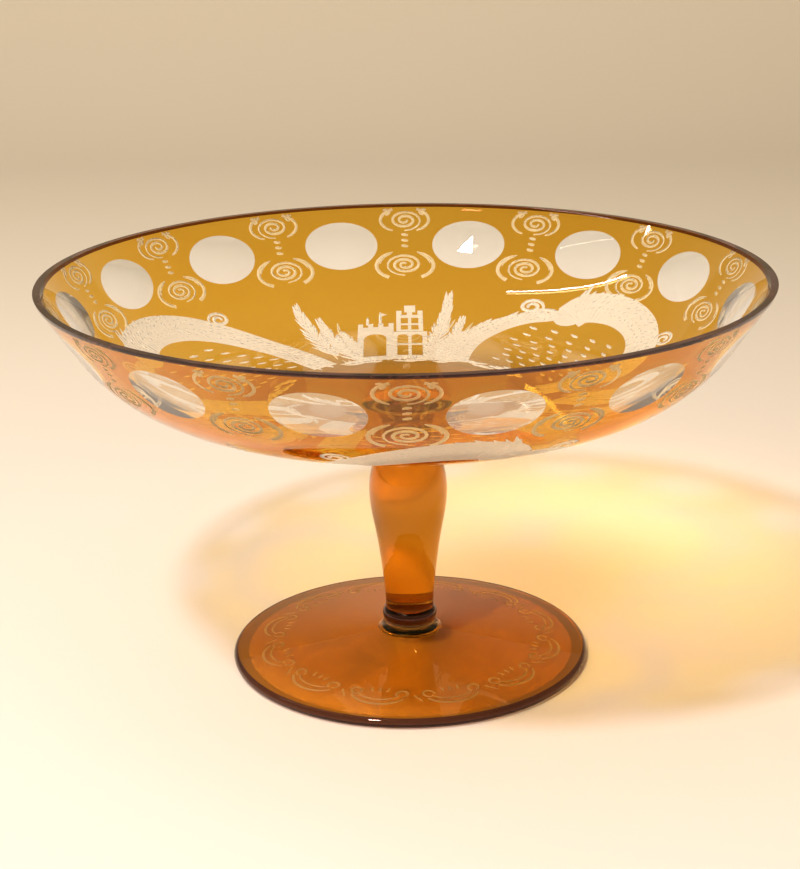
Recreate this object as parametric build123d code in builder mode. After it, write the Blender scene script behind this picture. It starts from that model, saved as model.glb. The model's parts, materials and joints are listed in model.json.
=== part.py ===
"""Footed glass compote: a shallow cut-to-clear bowl on a baluster stem and a round foot.

The bowl and the foot are colourless crystal under a thin amber layer. Cut windows go through the
amber of the bowl into the crystal. Millimetres, +Z up, origin at the centre of the foot's resting plane.
"""

import math
import os

from build123d import *

# Overall sizes
HEIGHT = 134.0
RIM_RADIUS = 120.0
FOOT_RADIUS = 61.0

# Bowl: a straight flared wall, a bend and a nearly flat floor
WALL_ANGLE = 56.0  # degrees above the horizontal
WALL_RUN = 12.0  # radial width of the straight wall
BEND_RADIUS = 54.0
FLOOR_ANGLE = 6.0  # degrees, where the bend runs out into the floor
BOWL_THICKNESS = 2.7
RIM_BEVEL = 0.5

# Amber layer
AMBER_THICKNESS = 0.3

# Cut windows: each is the mark of one pass of a grinding wheel
WINDOW_COUNT = 14
WINDOW_DROP = 18.0  # along the wall, from the rim to a window's deepest point
WINDOW_DEPTH = 0.95
WHEEL_RADIUS = 69.0
WHEEL_WIDTH = 44.0

# Foot
FOOT_EDGE = 3.5  # thickness at the rounded edge
FOOT_RISE = 5.9  # from the top of the edge to the seat of the hub
FOOT_RING = 3.8  # width of the ground ring that the foot stands on
FOOT_HOLLOW = 3.2  # height of the hollow under the foot, at the centre

# Hub, collar, stem and button, from the foot upwards
HUB_RADIUS = 11.0
HUB_HEIGHT = 3.6
COLLAR_HEIGHT = 4.2
COLLAR_SEAT_RADIUS = 8.8
COLLAR_BULGE = 0.8  # how far the ring stands out beyond its two ends
STEM_FOOT_RADIUS = 8.2
STEM_SHOULDER_RADIUS = 13.2
STEM_TOP_RADIUS = 9.2
BUTTON_WAIST_RADIUS = 8.6
BUTTON_RADIUS = 15.0  # where the button spreads under the bowl
BUTTON_HEIGHT = 14.0  # from the stem to the bowl; the stem takes up the rest of the height


def sine(angle):
    return math.sin(math.radians(angle))


def cosine(angle):
    return math.cos(math.radians(angle))


# The bowl's outside is a line and two arcs, and every other surface of its wall is parallel to it.
BEND_CENTRE = (
    RIM_RADIUS - WALL_RUN - BEND_RADIUS * sine(WALL_ANGLE),
    HEIGHT - WALL_RUN * sine(WALL_ANGLE) / cosine(WALL_ANGLE) + BEND_RADIUS * cosine(WALL_ANGLE),
)
FLOOR_RADIUS = BEND_RADIUS + BEND_CENTRE[0] / sine(FLOOR_ANGLE)
FLOOR_CENTRE = (0.0, BEND_CENTRE[1] + BEND_CENTRE[0] * cosine(FLOOR_ANGLE) / sine(FLOOR_ANGLE))


def on_bend(angle, depth):
    """Point of the bend where the wall rises at an angle, at a depth below the outside."""
    reach = BEND_RADIUS - depth
    return BEND_CENTRE[0] + reach * sine(angle), BEND_CENTRE[1] - reach * cosine(angle)


def on_floor(radius, depth):
    """Point of the floor at a radius from the axis, at a depth below the outside."""
    reach = FLOOR_RADIUS - depth
    return radius, FLOOR_CENTRE[1] - math.sqrt(reach**2 - radius**2)


def rim_point(depth):
    return RIM_RADIUS - depth / sine(WALL_ANGLE), HEIGHT


def bowl_surface(depth, inner_radius):
    """Adds one surface of the bowl's wall to the open line, from the rim to a radius on the floor."""
    Line(rim_point(depth), on_bend(WALL_ANGLE, depth))
    bend_middle = (WALL_ANGLE + FLOOR_ANGLE) / 2
    ThreePointArc(on_bend(WALL_ANGLE, depth), on_bend(bend_middle, depth), on_bend(FLOOR_ANGLE, depth))
    floor_middle = (on_bend(FLOOR_ANGLE, depth)[0] + inner_radius) / 2
    ThreePointArc(
        on_bend(FLOOR_ANGLE, depth), on_floor(floor_middle, depth), on_floor(inner_radius, depth)
    )


def bowl_wall(outer_depth, inner_depth, inner_radius):
    """Adds the closed outline of one layer of the bowl."""
    bowl_surface(outer_depth, inner_radius)
    bowl_surface(inner_depth, inner_radius)
    Line(rim_point(outer_depth), rim_point(inner_depth))
    Line(on_floor(inner_radius, outer_depth), on_floor(inner_radius, inner_depth))


def cut_windows():
    """Takes the wheel's marks out of the open part, evenly spaced round the wall."""
    wall_r = RIM_RADIUS - WINDOW_DROP * cosine(WALL_ANGLE)
    wall_z = HEIGHT - WINDOW_DROP * sine(WALL_ANGLE)
    reach = WHEEL_RADIUS - WINDOW_DEPTH
    wheel_r = wall_r + reach * sine(WALL_ANGLE)
    wheel_z = wall_z - reach * cosine(WALL_ANGLE)
    half_step = 180 / WINDOW_COUNT
    with Locations((0, 0, wheel_z)):
        with PolarLocations(wheel_r, WINDOW_COUNT, start_angle=90 + half_step):
            Cylinder(WHEEL_RADIUS, WHEEL_WIDTH, rotation=(90, 0, 0), mode=Mode.SUBTRACT)


# Bowl, colourless body
with BuildPart() as bowl_crystal:
    with BuildSketch(Plane.XZ):
        with BuildLine():
            bowl_wall(AMBER_THICKNESS, BOWL_THICKNESS, 0)
        make_face()
    revolve(axis=Axis.Z)
    rim_edges = bowl_crystal.edges().group_by(Axis.Z)[-1]
    chamfer(rim_edges.sort_by(SortBy.RADIUS)[0], RIM_BEVEL)
    cut_windows()

# Bowl, amber layer: it stops where the button is joined
with BuildPart() as bowl_amber_layer:
    with BuildSketch(Plane.XZ):
        with BuildLine():
            bowl_wall(0, AMBER_THICKNESS, BUTTON_RADIUS)
        make_face()
    revolve(axis=Axis.Z)
    cut_windows()

# Foot: a shallow cone with a full-round edge, hollow underneath
EDGE_RADIUS = FOOT_EDGE / 2
EDGE_CENTRE = FOOT_RADIUS - EDGE_RADIUS
HUB_SEAT = FOOT_EDGE + FOOT_RISE


def foot_top(depth):
    """Adds the foot's top and rounded edge, from the hub outwards and down, at a depth below the amber."""
    Line((HUB_RADIUS, HUB_SEAT - depth), (EDGE_CENTRE, FOOT_EDGE - depth))
    ThreePointArc(
        (EDGE_CENTRE, FOOT_EDGE - depth), (FOOT_RADIUS - depth, EDGE_RADIUS), (EDGE_CENTRE, depth)
    )


with BuildPart() as foot_crystal:
    with BuildSketch(Plane.XZ):
        with BuildLine():
            foot_top(AMBER_THICKNESS)
            Polyline(
                (EDGE_CENTRE, AMBER_THICKNESS),
                (EDGE_CENTRE, 0),
                (EDGE_CENTRE - FOOT_RING, 0),
                (0, FOOT_HOLLOW),
                (0, HUB_SEAT),
                (HUB_RADIUS, HUB_SEAT),
                (HUB_RADIUS, HUB_SEAT - AMBER_THICKNESS),
            )
        make_face()
    revolve(axis=Axis.Z)

with BuildPart() as foot_amber_layer:
    with BuildSketch(Plane.XZ):
        with BuildLine():
            foot_top(0)
            foot_top(AMBER_THICKNESS)
            Line((HUB_RADIUS, HUB_SEAT), (HUB_RADIUS, HUB_SEAT - AMBER_THICKNESS))
            Line((EDGE_CENTRE, 0), (EDGE_CENTRE, AMBER_THICKNESS))
        make_face()
    revolve(axis=Axis.Z)

# Hub: the flared pad of glass that joins the collar to the foot; its side bends in towards HUB_CORNER
COLLAR_SEAT = HUB_SEAT + HUB_HEIGHT
HUB_CORNER = (COLLAR_SEAT_RADIUS * 0.8 + HUB_RADIUS * 0.2, HUB_SEAT * 0.8 + COLLAR_SEAT * 0.2)

with BuildPart() as foot_hub:
    with BuildSketch(Plane.XZ):
        with BuildLine():
            hub_side = Bezier((HUB_RADIUS, HUB_SEAT), HUB_CORNER, (COLLAR_SEAT_RADIUS, COLLAR_SEAT))
            Polyline(hub_side @ 1, (0, COLLAR_SEAT), (0, HUB_SEAT), hub_side @ 0)
        make_face()
    revolve(axis=Axis.Z)

# Collar: the ring at the bottom of the stem
STEM_SEAT = COLLAR_SEAT + COLLAR_HEIGHT
COLLAR_RADIUS = (COLLAR_SEAT_RADIUS + STEM_FOOT_RADIUS) / 2 + COLLAR_BULGE

with BuildPart() as stem_collar:
    with BuildSketch(Plane.XZ):
        with BuildLine():
            ring_side = ThreePointArc(
                (COLLAR_SEAT_RADIUS, COLLAR_SEAT),
                (COLLAR_RADIUS, COLLAR_SEAT + COLLAR_HEIGHT / 2),
                (STEM_FOOT_RADIUS, STEM_SEAT),
            )
            Polyline(ring_side @ 1, (0, STEM_SEAT), (0, COLLAR_SEAT), ring_side @ 0)
        make_face()
    revolve(axis=Axis.Z)

# Stem: an upside-down baluster, its sizes given as shares of its own height and swell
BUTTON_LIP = on_floor(BUTTON_RADIUS, 0)
STEM_TOP = BUTTON_LIP[1] - BUTTON_HEIGHT
STEM_SWELL = STEM_SHOULDER_RADIUS - STEM_FOOT_RADIUS


def stem_point(swell_share, height_share):
    height = STEM_TOP - STEM_SEAT
    return STEM_FOOT_RADIUS + swell_share * STEM_SWELL, STEM_SEAT + height_share * height


with BuildPart() as stem:
    with BuildSketch(Plane.XZ):
        with BuildLine():
            stem_side = Spline(
                (STEM_FOOT_RADIUS, STEM_SEAT),
                stem_point(0.2, 0.23),
                stem_point(0.57, 0.46),
                stem_point(1, 0.75),
                (STEM_TOP_RADIUS, STEM_TOP),
                tangents=((0, 1), (-0.6, 1)),
            )
            Polyline(stem_side @ 1, (0, STEM_TOP), (0, STEM_SEAT), stem_side @ 0)
        make_face()
    revolve(axis=Axis.Z)

# Button: the spool of glass between the stem and the bowl, spread against the bowl's crystal
BUTTON_TOP = on_floor(BUTTON_RADIUS, AMBER_THICKNESS)
BUTTON_WAIST = (BUTTON_WAIST_RADIUS, STEM_TOP + BUTTON_HEIGHT / 2)

with BuildPart() as bowl_button:
    with BuildSketch(Plane.XZ):
        with BuildLine():
            Spline(
                (STEM_TOP_RADIUS, STEM_TOP),
                BUTTON_WAIST,
                BUTTON_LIP,
                tangents=((-0.6, 1), (1, 0.25)),
            )
            Line(BUTTON_LIP, BUTTON_TOP)
            ThreePointArc(
                BUTTON_TOP,
                on_floor(BUTTON_RADIUS / 2, AMBER_THICKNESS),
                on_floor(0, AMBER_THICKNESS),
            )
            Polyline(on_floor(0, AMBER_THICKNESS), (0, STEM_TOP), (STEM_TOP_RADIUS, STEM_TOP))
        make_face()
    revolve(axis=Axis.Z)

PIECES = {
    "bowl_crystal": bowl_crystal,
    "bowl_amber_layer": bowl_amber_layer,
    "bowl_button": bowl_button,
    "stem": stem,
    "stem_collar": stem_collar,
    "foot_hub": foot_hub,
    "foot_crystal": foot_crystal,
    "foot_amber_layer": foot_amber_layer,
}

os.makedirs("parts", exist_ok=True)
for name, piece in PIECES.items():
    piece.part.label = name
    export_step(piece.part, f"parts/{name}.step")
    print(name, round(piece.part.volume, 1), "mm3")
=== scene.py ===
# %% [markdown]
# # A footed glass compote, cut and engraved through amber
# The bowl is colourless crystal under a thin amber layer. A glass cutter has ground a row of oval
# windows through the amber, and an engraver has drawn spirals, scrolls, trees and a small castle with
# copper wheels. Stem and foot are amber too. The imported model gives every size; this script adds the
# cutting, the engraving and the way the glass handles light.

# %% The frame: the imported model, which is never moved
import json
import math
import random

import bmesh
import bpy
import numpy as np
from mathutils import Matrix, Vector
from mathutils.geometry import delaunay_2d_cdt

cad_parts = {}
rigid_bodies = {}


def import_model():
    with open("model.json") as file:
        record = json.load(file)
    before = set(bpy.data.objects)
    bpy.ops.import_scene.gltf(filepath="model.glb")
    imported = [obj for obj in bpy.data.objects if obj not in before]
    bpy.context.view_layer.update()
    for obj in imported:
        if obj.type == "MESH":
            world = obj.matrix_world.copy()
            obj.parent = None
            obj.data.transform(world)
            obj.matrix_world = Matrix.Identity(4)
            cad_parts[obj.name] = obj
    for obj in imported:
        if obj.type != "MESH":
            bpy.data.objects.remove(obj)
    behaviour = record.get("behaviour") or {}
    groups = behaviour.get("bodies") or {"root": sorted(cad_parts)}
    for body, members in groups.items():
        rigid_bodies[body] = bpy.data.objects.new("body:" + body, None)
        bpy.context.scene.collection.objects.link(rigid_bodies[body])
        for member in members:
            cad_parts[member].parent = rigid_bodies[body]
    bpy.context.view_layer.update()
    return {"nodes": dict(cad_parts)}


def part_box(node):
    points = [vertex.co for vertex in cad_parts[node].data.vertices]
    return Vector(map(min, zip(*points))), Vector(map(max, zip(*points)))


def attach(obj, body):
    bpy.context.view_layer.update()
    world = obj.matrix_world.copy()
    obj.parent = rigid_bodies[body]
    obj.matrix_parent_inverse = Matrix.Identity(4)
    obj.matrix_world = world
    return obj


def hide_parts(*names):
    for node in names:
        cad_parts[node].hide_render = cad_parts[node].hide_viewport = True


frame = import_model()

MM = 0.001

# %% [markdown]
# ## Camera
# The camera looks down at the bowl by 18 degrees from a little over half a metre, with a short
# telephoto lens. It leans by less than a degree, as a camera that is held by hand does.

# %% Camera
CAMERA_DISTANCE = 0.5959
CAMERA_HEIGHT = 0.2724
CAMERA_PITCH = math.radians(18.0)
CAMERA_LEAN = math.radians(-0.78)
CAMERA_LENS = 77.5
CAMERA_SHIFT = -0.0085


def add_object(name, data):
    """Puts an object in the scene."""
    made = bpy.data.objects.new(name, data)
    bpy.context.scene.collection.objects.link(made)
    return made


def aim_camera():
    data = bpy.data.cameras.new("camera")
    data.lens = CAMERA_LENS
    data.clip_start = 0.01
    data.shift_x = CAMERA_SHIFT
    camera = add_object("camera", data)
    level = Matrix.Rotation(math.pi / 2 - CAMERA_PITCH, 4, "X")
    lean = Matrix.Rotation(CAMERA_LEAN, 4, "Z")
    camera.matrix_world = Matrix.Translation((0, -CAMERA_DISTANCE, CAMERA_HEIGHT)) @ level @ lean
    bpy.context.scene.camera = camera


aim_camera()
print("camera", CAMERA_LENS, "mm lens,", CAMERA_DISTANCE, "m in front of the stem")

# %% [markdown]
# ## Shader maths as Python
# A material is a tree of nodes. Wrapping a socket in a small class lets a formula be written as a
# formula: `clouds * 0.06` adds the Math node that works it out. One function makes all other nodes.


# %% Shader helper
class Wire:
    """A node's output socket that takes part in sums."""

    def __init__(self, tree, socket):
        self.tree = tree
        self.socket = socket

    def maths(self, operation, other):
        return node(self.tree, "ShaderNodeMath", {"operation": operation}, self, other)

    def __add__(self, other):
        return self.maths("ADD", other)

    def __sub__(self, other):
        return self.maths("SUBTRACT", other)

    def __mul__(self, other):
        return self.maths("MULTIPLY", other)


def node(tree, kind, settings, *values, output=0, **named):
    """Adds a node: its settings first, then its inputs by order or by name."""
    made = tree.nodes.new(kind)
    for key, value in settings.items():
        setattr(made, key, value)
    inputs = dict(enumerate(values))
    inputs.update((name.replace("_", " "), value) for name, value in named.items())
    for key, value in inputs.items():
        if isinstance(value, Wire):
            tree.links.new(value.socket, made.inputs[key])
        elif value is not None:
            made.inputs[key].default_value = value
    return Wire(tree, made.outputs[output])


def mix_colours(tree, share, first, second):
    """Blends two colours by a share between 0 and 1."""
    colours = [value if isinstance(value, Wire) else (*value, 1.0) for value in (first, second)]
    other_kinds = [None] * 5  # the node's sockets for numbers and vectors
    return node(tree, "ShaderNodeMix", {"data_type": "RGBA"}, share, *other_kinds, *colours, output=2)


def split(vector):
    """The x, y and z of a vector."""
    made = node(vector.tree, "ShaderNodeSeparateXYZ", {}, vector).socket.node
    return [Wire(vector.tree, made.outputs[number]) for number in range(3)]


def place_on(tree):
    """The place on the piece that is being shaded."""
    return node(tree, "ShaderNodeTexCoord", {}, output=3)


def soft_noise(tree, scale, detail):
    return node(tree, "ShaderNodeTexNoise", {}, Vector=place_on(tree), Scale=scale, Detail=detail)


def new_material(name):
    """An empty material: returns its tree and a function that sets its surface and returns it."""
    material = bpy.data.materials.new(name)
    material.use_nodes = True
    tree = material.node_tree
    tree.nodes.clear()
    out = tree.nodes.new("ShaderNodeOutputMaterial")

    def finish(shader):
        tree.links.new(shader.socket, out.inputs["Surface"])
        return material

    return tree, finish


# %% [markdown]
# ## Glass finishes
# Every amber finish is the same glass: colourless inside, with the colour in a skin. Light that
# crosses the skin once comes out golden, and light that crosses it twice comes out deep orange. A
# Principled shader with full transmission does exactly that, because it tints each crossing by the
# square root of its base colour. Lamps reach what is behind glass by a Transparent shader that only
# shadow rays see, tinted in the same way. Two finishes also carry painted shade: a near-black glass
# on rims, edges and the stem's ring, and a deeper amber round the bowl's middle.

# %% Glass colours, as the light that two crossings leave
GOLD_TWICE = (0.76, 0.25, 0.002)
STEM_TWICE = (0.52, 0.17, 0.005)
FOOT_TWICE = (0.36, 0.085, 0.002)
# painted shade: near-black glass for rims, edges and the stem's ring, which look dark from light trapped
# in them
PAINTED_DARK_TWICE = (0.03, 0.007, 0.008)
CLEAR_TWICE = (0.97, 0.96, 0.93)
GLASS_INDEX = 1.51
CLOUD_SCALE = 22.0
WAVE_SCALE, WAVE_DEPTH = 60.0, 0.001
# painted shade: the amber skin is drawn deeper round the bowl's middle, between these two radii
PAINTED_SHADE_WITHIN, PAINTED_SHADE_FADED = 0.036, 0.062  # radii of the deeper amber round the bowl's middle
SHADE, SHADE_TINT = 0.80, 0.20  # light under the glass is dimmer, and paler than the glass


def skin_variation(tree, colour, spread, scale):
    """The amber skin is a touch thicker here and thinner there, in soft clouds."""
    clouds = soft_noise(tree, scale, 2.0)
    paler = tuple(min(1.0, value ** (1 - spread)) for value in colour)
    deeper = tuple(value ** (1 + spread) for value in colour)
    return mix_colours(tree, clouds, paler, deeper)


def fine_waves(tree, scale, strength, distance):
    """Fire-polished or wheel-polished glass is never optically flat."""
    waves = soft_noise(tree, scale, 1.0)
    return node(tree, "ShaderNodeBump", {}, Strength=strength, Distance=distance, Height=waves)


def painted_shade_middle(tree, tone, deep):
    """Painted shade: the amber skin is drawn deeper round the bowl's middle, so the floor looks dark."""
    x, y, _ = split(place_on(tree))
    square = x * x + y * y
    share = node(tree, "ShaderNodeMapRange", {}, square, PAINTED_SHADE_WITHIN**2, PAINTED_SHADE_FADED**2, 1.0, 0.0)
    return mix_colours(tree, share, tone, deep)


def lamps_pass(tree, surface, once):
    """Lets lamps shine through in one colour: only shadow rays meet the Transparent shader."""
    lamps = node(tree, "ShaderNodeBsdfTransparent", {}, Color=(*once, 1.0))
    shadow = node(tree, "ShaderNodeLightPath", {}, output=1)
    return node(tree, "ShaderNodeMixShader", {}, shadow, surface, lamps)


def glass(name, colour, spread=0.0, waves=0.0, body_share=0.0, glint=(1.0, 1.0, 1.0), deep=None):
    """Clear or coloured glass whose shadow lets lamps through in its own colour."""
    tree, finish = new_material(name)
    tone = skin_variation(tree, colour, spread, CLOUD_SCALE) if spread else (*colour, 1.0)
    # painted shade: deep is a darker amber drawn round the bowl's middle
    if deep:
        tone = painted_shade_middle(tree, tone, deep)
    body = node(
        tree, "ShaderNodeBsdfPrincipled", {}, Roughness=0.0, IOR=GLASS_INDEX, Base_Color=tone,
        Transmission_Weight=1.0 - body_share, Specular_Tint=(*glint, 1.0),
        Normal=fine_waves(tree, WAVE_SCALE, waves, WAVE_DEPTH) if waves else None,
    )
    once = tuple(SHADE * value**SHADE_TINT for value in colour)
    return finish(lamps_pass(tree, body, once))


def engraved_glass(name, dark, light, through, lamps_through):
    """Matt wheel engraving: the ground surface scatters light both ways."""
    tree, finish = new_material(name)
    grain = soft_noise(tree, 1400.0, 2.0)
    tone = mix_colours(tree, grain, dark, light)
    bump = node(tree, "ShaderNodeBump", {}, Strength=0.5, Distance=0.0002, Height=grain)
    ground = node(
        tree, "ShaderNodeBsdfPrincipled", {}, Base_Color=tone, Roughness=0.5, IOR=GLASS_INDEX,
        Transmission_Weight=through, Normal=bump,
    )
    return finish(lamps_pass(tree, ground, lamps_through))


def fused_seam(name):
    """Where two gathers of hot glass have melted together there is no surface for light to meet."""
    tree, finish = new_material(name)
    return finish(node(tree, "ShaderNodeBsdfTransparent", {}))


AMBER_GLINT = (1.0, 0.75, 0.35)
# the skin carries painted shade: deep darkens the amber round the bowl's middle
AMBER_SKIN = glass(
    "amber_skin", GOLD_TWICE, spread=0.10, waves=0.02, glint=AMBER_GLINT, deep=(0.20, 0.045, 0.002),
)
AMBER_STEM = glass("amber_stem", STEM_TWICE, spread=0.12, waves=0.05, glint=AMBER_GLINT)
AMBER_FOOT = glass("amber_foot", FOOT_TWICE, spread=0.08, waves=0.03, glint=AMBER_GLINT)
# painted shade: this near-black finish, with a dull glint, stands in for the dark of thick glass edges
AMBER_PAINTED_DARK = glass("amber_dense_edge", PAINTED_DARK_TWICE, glint=(0.55, 0.38, 0.34))
CRYSTAL = glass("clear_crystal", CLEAR_TWICE)
WINDOW = glass("polished_window", CLEAR_TWICE, body_share=0.22)
ENGRAVED = engraved_glass(
    "engraved_matt", (0.80, 0.70, 0.54), (0.90, 0.82, 0.68), 0.6, (0.5, 0.47, 0.40)
)
ENGRAVED_FINE = engraved_glass(
    "engraved_fine", (0.86, 0.60, 0.20), (0.93, 0.74, 0.38), 0.75, (0.6, 0.45, 0.15)
)
ENGRAVED_FOOT = engraved_glass(
    "engraved_foot", (0.44, 0.20, 0.03), (0.60, 0.38, 0.12), 0.5, (0.5, 0.3, 0.1)
)
MELTED = fused_seam("fused_seam")
print("finishes", len(bpy.data.materials))

# %% [markdown]
# ## Reading sizes from the frame
# A turned piece is the same all round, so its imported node's vertices, seen as radius and height,
# lie on one outline. Reading the outline there keeps the visual pieces on the CAD to a hair.

# %% Outlines
def read(items, key, width=1, kind=float):
    """One property of all a mesh's vertices, corners or faces, as an array."""
    values = np.empty(len(items) * width, dtype=kind)
    items.foreach_get(key, values)
    return values.reshape(-1, width) if width > 1 else values


def outline_of(name):
    """Radius and height of a node's vertices, as two arrays."""
    places = read(frame["nodes"][name].data.vertices, "co", 3)
    return np.hypot(places[:, 0], places[:, 1]), places[:, 2]


def side_of(name, low, high, count):
    """The side of a turned node between two heights, as evenly spaced points from the bottom up."""
    radius, height = outline_of(name)
    on_side = (radius > 1 * MM) & (height > low - 1e-6) & (height < high + 1e-6)
    order = np.argsort(height[on_side])
    height, radius = height[on_side][order], radius[on_side][order]
    height, first = np.unique(np.round(height, 6), return_index=True)
    radius = np.array([part.max() for part in np.split(radius, first[1:])])
    levels = low + (high - low) * (1 - np.cos(np.linspace(0, math.pi, count))) / 2
    return list(zip(np.interp(levels, height, radius), levels))


RIM_RADIUS, _, RIM_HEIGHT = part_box("bowl_amber_layer")[1]
FOOT_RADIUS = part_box("foot_amber_layer")[1][0]
HUB_SEAT, COLLAR_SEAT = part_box("foot_hub")[0][2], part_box("foot_hub")[1][2]
STEM_SEAT, STEM_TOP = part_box("stem")[0][2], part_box("stem")[1][2]
HUB_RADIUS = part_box("foot_hub")[1][0]
print("rim", RIM_RADIUS, RIM_HEIGHT, "foot", FOOT_RADIUS, "stem", STEM_SEAT, STEM_TOP)

# %% [markdown]
# ## The bowl's wall as a formula
# The wall is a straight flare, a bend and a nearly flat floor. Everything that is cut or drawn on it
# is placed by an angle round the axis and a distance down the wall from the rim, so this one
# function turns a flat drawing into a place on the glass.

# %% The wall
WALL_ANGLE = math.radians(56.0)
WALL_RUN = 12.0 * MM
BEND_RADIUS = 54.0 * MM
FLOOR_ANGLE = math.radians(6.0)
THICKNESS = 2.7 * MM
STRAIGHT = WALL_RUN / math.cos(WALL_ANGLE)
BEND_END = STRAIGHT + BEND_RADIUS * (WALL_ANGLE - FLOOR_ANGLE)
BEND_R = RIM_RADIUS - WALL_RUN - BEND_RADIUS * math.sin(WALL_ANGLE)
BEND_Z = RIM_HEIGHT - WALL_RUN * math.tan(WALL_ANGLE) + BEND_RADIUS * math.cos(WALL_ANGLE)
FLOOR_RADIUS = BEND_RADIUS + BEND_R / math.sin(FLOOR_ANGLE)
FLOOR_Z = BEND_Z + BEND_R / math.tan(FLOOR_ANGLE)
WALL_END = BEND_END + FLOOR_RADIUS * FLOOR_ANGLE


def by_stretch(down, straight, bend, floor):
    """Picks the value of the stretch of wall that each distance down from the rim lies in."""
    return np.where(down < STRAIGHT, straight, np.where(down < BEND_END, bend, floor))


def slope_at(down):
    """The wall's angle above the horizontal at a distance down from the rim."""
    bend = WALL_ANGLE - (down - STRAIGHT) / BEND_RADIUS
    return by_stretch(down, WALL_ANGLE, bend, FLOOR_ANGLE - (down - BEND_END) / FLOOR_RADIUS)


def wall_at(down, depth=0.0):
    """Radius and height at a distance down the wall and a depth under its outside."""
    down = np.asarray(down, dtype=float)
    slope = slope_at(down)
    straight_r = RIM_RADIUS - down * math.cos(WALL_ANGLE)
    straight_z = RIM_HEIGHT - down * math.sin(WALL_ANGLE)
    bend_r, bend_z = BEND_R + BEND_RADIUS * np.sin(slope), BEND_Z - BEND_RADIUS * np.cos(slope)
    floor_r, floor_z = FLOOR_RADIUS * np.sin(slope), FLOOR_Z - FLOOR_RADIUS * np.cos(slope)
    radius = by_stretch(down, straight_r, bend_r, floor_r)
    height = by_stretch(down, straight_z, bend_z, floor_z)
    return radius - depth * np.sin(slope), height + depth * np.cos(slope)


def radius_at(down):
    return wall_at(down)[0]


node_r, node_z = outline_of("bowl_amber_layer")
samples = np.linspace(0, WALL_END, 4000)
wall_r, wall_z = wall_at(samples)
outer = [float(np.hypot(wall_r - r, wall_z - z).min()) for r, z in zip(node_r[::97], node_z[::97])]
print("packed amber layer lies within", round(max(outer) / MM, 2), "mm of the formula")

# %% [markdown]
# ## Geometry Nodes helper
# Geometry trees are built like the shader trees. A modifier's input is set by its socket's
# identifier, and the evaluated result is kept as a plain mesh.


# %% Geometry Nodes helper
class GeometryTree:
    """A Geometry Nodes tree that is built call by call."""

    def __init__(self, name, **inputs):
        self.tree = bpy.data.node_groups.new(name, "GeometryNodeTree")
        self.tree.interface.new_socket("Geometry", in_out="INPUT", socket_type="NodeSocketGeometry")
        self.ids = {}
        for label, kind in inputs.items():
            socket = self.tree.interface.new_socket(label, in_out="INPUT", socket_type=kind)
            self.ids[label] = socket.identifier
        self.tree.interface.new_socket("Geometry", in_out="OUTPUT", socket_type="NodeSocketGeometry")
        self.start = self.tree.nodes.new("NodeGroupInput")
        self.end = self.tree.nodes.new("NodeGroupOutput")

    def given(self, label):
        return Wire(self.tree, self.start.outputs[label])

    def add(self, kind, settings=None, *values, output=0, **named):
        return node(self.tree, kind, settings or {}, *values, output=output, **named)

    def whole(self, operation, first, second):
        return self.add("FunctionNodeIntegerMath", {"operation": operation}, first, second)

    def turned(self, radius, angle, height):
        """A point at a radius, an angle from +Y towards +X, and a height."""
        sine = self.add("ShaderNodeMath", {"operation": "SINE"}, angle)
        cosine = self.add("ShaderNodeMath", {"operation": "COSINE"}, angle)
        return self.add("ShaderNodeCombineXYZ", {}, radius * sine, radius * cosine, height)

    def finished(self, geometry, finishes):
        """Realizes instances and gives each face the material that its finish number names."""
        geometry = self.add("GeometryNodeRealizeInstances", {}, geometry)
        finish = self.add("GeometryNodeInputNamedAttribute", {"data_type": "INT"}, "finish")
        for number, material in enumerate(finishes):
            settings = {"data_type": "INT", "operation": "EQUAL"}
            chosen = self.add("FunctionNodeCompare", settings, None, None, finish, number)
            geometry = self.add("GeometryNodeSetMaterial", {}, geometry, chosen, material)
        self.tree.links.new(geometry.socket, self.end.inputs[0])

    def apply(self, piece, **inputs):
        """Runs the tree on a piece and keeps the result as the piece's own plain mesh."""
        modifier = piece.modifiers.new(self.tree.name, "NODES")
        modifier.node_group = self.tree
        for label, value in inputs.items():
            modifier[self.ids[label]] = value
        bpy.context.view_layer.update()
        evaluated = piece.evaluated_get(bpy.context.evaluated_depsgraph_get())
        mesh = bpy.data.meshes.new_from_object(evaluated)
        piece.modifiers.remove(modifier)
        old = piece.data
        piece.data = mesh
        mesh.name = piece.name
        bpy.data.meshes.remove(old)
        return piece


def new_piece(name, points, edges=(), faces=(), carrier="POINT", finish=()):
    """A mesh object whose points or faces can carry the number of their finish."""
    mesh = bpy.data.meshes.new(name)
    mesh.from_pydata([tuple(point) for point in points], edges, faces)
    if finish:
        mesh.attributes.new("finish", "INT", carrier).data.foreach_set("value", finish)
    return add_object(name, mesh)


# %% [markdown]
# ## A lathe in Geometry Nodes
# Stem, ring, hub, foot and the plain parts of the bowl are bodies of revolution. They could be made
# by a Screw modifier, but a grid whose rows are the outline's points and whose columns are the turn
# keeps every corner of the outline and lets each ring carry its own finish.

# %% The lathe
SEGMENTS = 336  # a multiple of the 14 windows and the 3 scenes
WELD = 2e-6
FINISHES = [AMBER_SKIN, WINDOW, ENGRAVED, ENGRAVED_FINE, CRYSTAL, AMBER_PAINTED_DARK, AMBER_STEM, MELTED,
            AMBER_FOOT, ENGRAVED_FOOT]
AMBER, CUT, MATT, LIGHT_MATT, CLEAR, PAINTED_DARK, STEM, FUSED, FOOT_AMBER, FOOT_MATT = range(10)


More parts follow.
